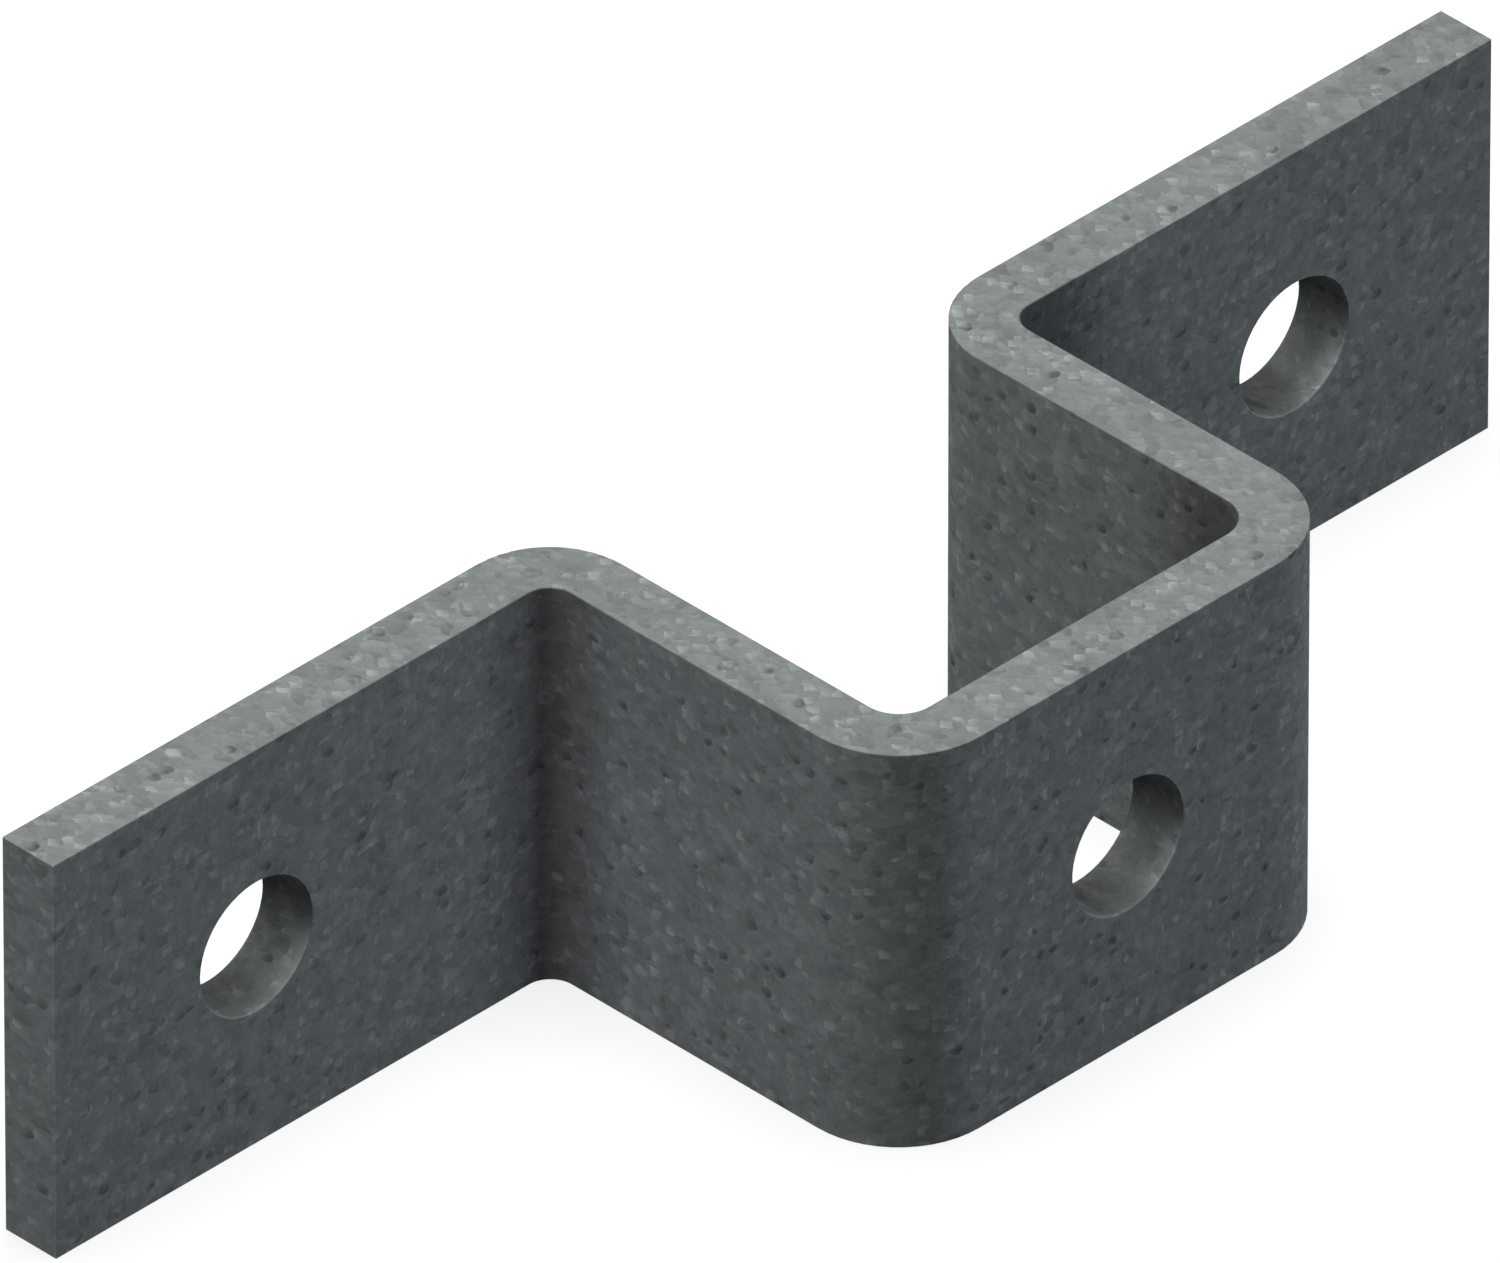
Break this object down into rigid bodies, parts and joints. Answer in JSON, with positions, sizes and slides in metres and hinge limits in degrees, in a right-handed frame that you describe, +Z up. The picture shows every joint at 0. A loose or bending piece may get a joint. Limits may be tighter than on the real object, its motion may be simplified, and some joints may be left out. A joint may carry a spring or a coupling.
{
  "type": "hat bracket",
  "caption": "Hat-shaped strap folded from flat bar that clamps a square channel in its pocket to a flat surface, with a bolt hole in each foot and in the crown.",
  "frame": {"origin": "on the plane of the feet's backs, midway between the two foot holes and at the middle of the bar's width", "axes": "+X along the feet, +Y out of the feet's backs towards what they are bolted to (the crown stands out towards -Y), +Z up across the bar's width; it stands on its lower cut edge"},
  "size_m": [0.1696, 0.047, 0.04],
  "materials": {
    "zinc": "hot-dip galvanised, dull grey zinc with fine overlapping spangles"
  },
  "bodies": {
    "root": {"hat_bracket": "zinc"}
  },
  "joints": []
}
